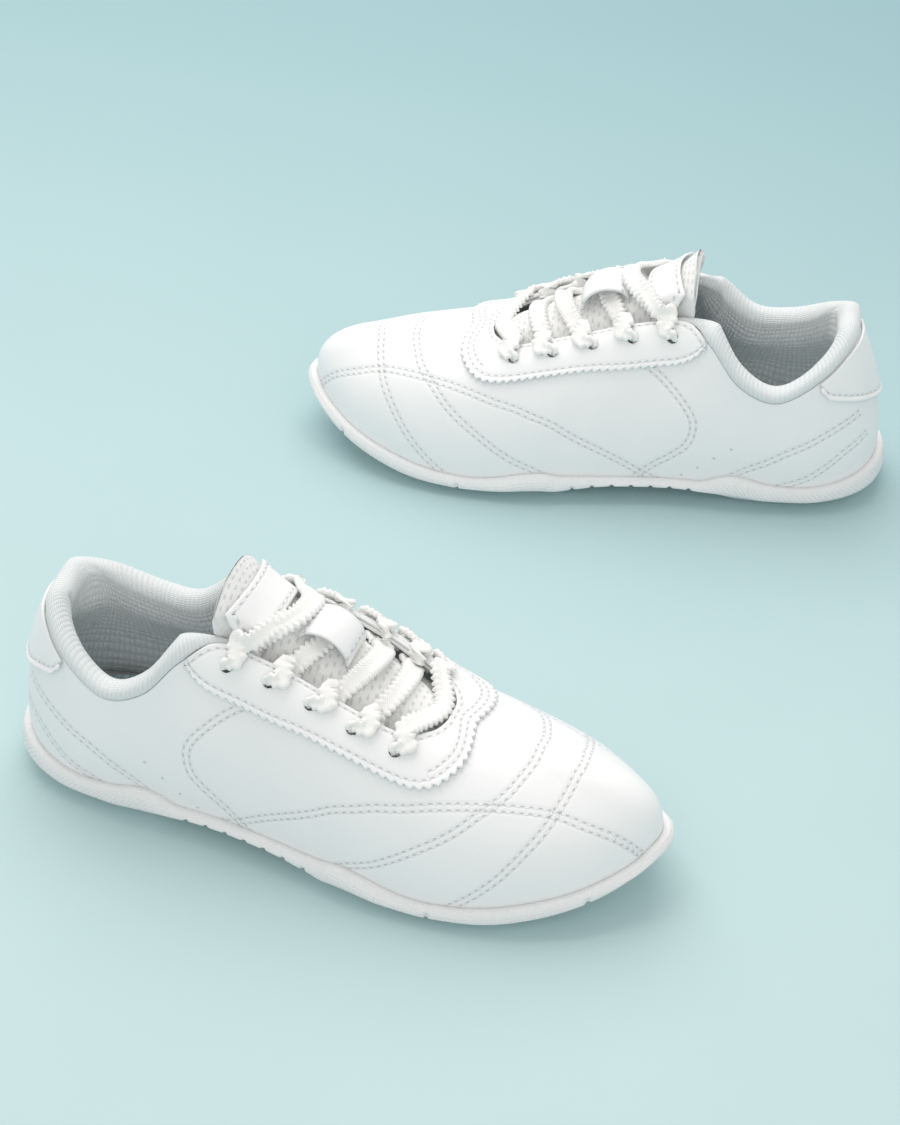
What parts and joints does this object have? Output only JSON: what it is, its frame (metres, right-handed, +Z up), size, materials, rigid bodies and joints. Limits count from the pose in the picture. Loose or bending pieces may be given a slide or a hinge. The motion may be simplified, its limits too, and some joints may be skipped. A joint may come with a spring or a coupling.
{
  "type": "pair of cheer shoes",
  "caption": "Pair of low-top cheer shoes: moulded sole with arched waist, stitched leather-look upper, pinked eyestay, padded knit collar, mesh tongue with lace keeper, crossed flat laces.",
  "frame": {"origin": "centre of the pair at floor level", "axes": "+Z up, +X from the heel to the toe of the left shoe, +Y from the left shoe towards the right shoe; the right shoe points the other way"},
  "size_m": [0.2762, 0.3516, 0.1015],
  "materials": {
    "leather_white": "smooth satin coated synthetic leather",
    "sole_rubber": "matt moulded with fine texture",
    "knit_lining": "coarse knit over foam",
    "lining_fabric": "plain woven",
    "mesh_tongue": "open spacer mesh",
    "lace_cord": "braided",
    "insole_fabric": "woven grid",
    "board": "fibre board",
    "stiffener": "matt sheet",
    "aglet_plastic": "clear glossy film"
  },
  "bodies": {
    "left_shoe": {"left_outsole": "sole_rubber", "left_lasting_board": "board", "left_toe_puff": "stiffener", "left_heel_counter": "stiffener", "left_upper_shell": "leather_white", "left_vamp_lining": "lining_fabric", "left_collar_padding": "knit_lining", "left_eyestay": "leather_white", "left_heel_tab": "leather_white", "left_lace": "lace_cord", "left_aglet_inner": "aglet_plastic", "left_aglet_outer": "aglet_plastic"},
    "left_tongue_flap": {"left_tongue": "mesh_tongue", "left_tongue_label": "leather_white", "left_lace_keeper": "leather_white"},
    "left_insole_pad": {"left_insole": "insole_fabric"},
    "right_shoe": {"right_outsole": "sole_rubber", "right_lasting_board": "board", "right_toe_puff": "stiffener", "right_heel_counter": "stiffener", "right_upper_shell": "leather_white", "right_vamp_lining": "lining_fabric", "right_collar_padding": "knit_lining", "right_eyestay": "leather_white", "right_heel_tab": "leather_white", "right_lace": "lace_cord", "right_aglet_inner": "aglet_plastic", "right_aglet_outer": "aglet_plastic"},
    "right_tongue_flap": {"right_tongue": "mesh_tongue", "right_tongue_label": "leather_white", "right_lace_keeper": "leather_white"},
    "right_insole_pad": {"right_insole": "insole_fabric"}
  },
  "joints": [
    {"name": "right_shoe_lift", "type": "slide", "parent": "left_shoe", "child": "right_shoe", "axis": [0, 0, 1], "range_m": [0, 0.25]},
    {"name": "left_tongue_tilt", "type": "hinge", "parent": "left_shoe", "child": "left_tongue_flap", "pos_m": [0.05526, -0.12682, 0.046], "axis": [0, -1, 0], "range_deg": [0, 2.5], "stiffness_Nm_per_rad": 0.6, "deforming": ["left_lace"]},
    {"name": "left_insole_lift", "type": "hinge", "parent": "left_shoe", "child": "left_insole_pad", "pos_m": [0.11226, -0.12582, 0.021], "axis": [0, 1, 0], "range_deg": [0, 5], "stiffness_Nm_per_rad": 0.5},
    {"name": "right_tongue_tilt", "type": "hinge", "parent": "right_shoe", "child": "right_tongue_flap", "pos_m": [-0.05328, 0.1168, 0.046], "axis": [-0.1668, 0.986, 0], "range_deg": [0, 2.5], "stiffness_Nm_per_rad": 0.6, "deforming": ["right_lace"]},
    {"name": "right_insole_lift", "type": "hinge", "parent": "right_shoe", "child": "right_insole_pad", "pos_m": [-0.10965, 0.10828, 0.021], "axis": [0.1668, -0.986, 0], "range_deg": [0, 5], "stiffness_Nm_per_rad": 0.5}
  ]
}
